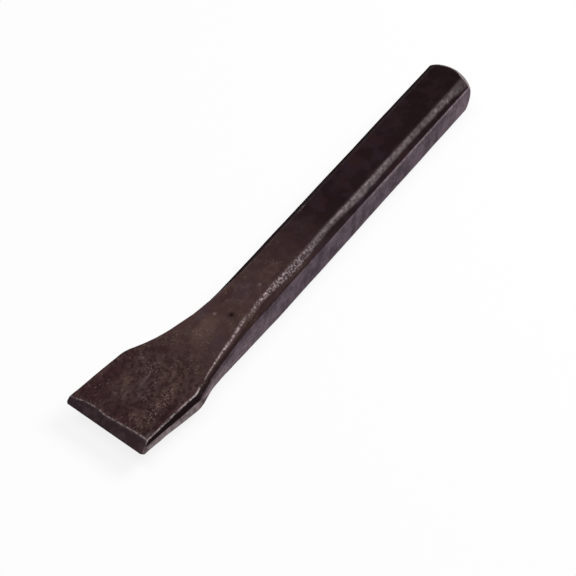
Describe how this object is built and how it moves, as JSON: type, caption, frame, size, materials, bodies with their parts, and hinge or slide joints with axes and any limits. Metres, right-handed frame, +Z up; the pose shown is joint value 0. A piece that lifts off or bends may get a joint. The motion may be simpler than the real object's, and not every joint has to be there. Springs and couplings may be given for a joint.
{
  "type": "flat cold chisel",
  "caption": "Forged flat chisel: chamfered square bar with a domed struck end and a flared, skewed, double-bevelled blade.",
  "frame": {"origin": "middle of the lower flat of the straight bar, under the bar's axis", "axes": "+X along the bar towards the cutting edge, +Z up out of the broad upper face, and the long side of the blade's flare towards -Y"},
  "size_m": [0.2019, 0.0351, 0.0175],
  "materials": {
    "forged_steel": "dark brown-black oxide and lacquer on forged steel, satin, worn to bright steel along the edges"
  },
  "bodies": {
    "root": {"chisel": "forged_steel"}
  },
  "joints": []
}
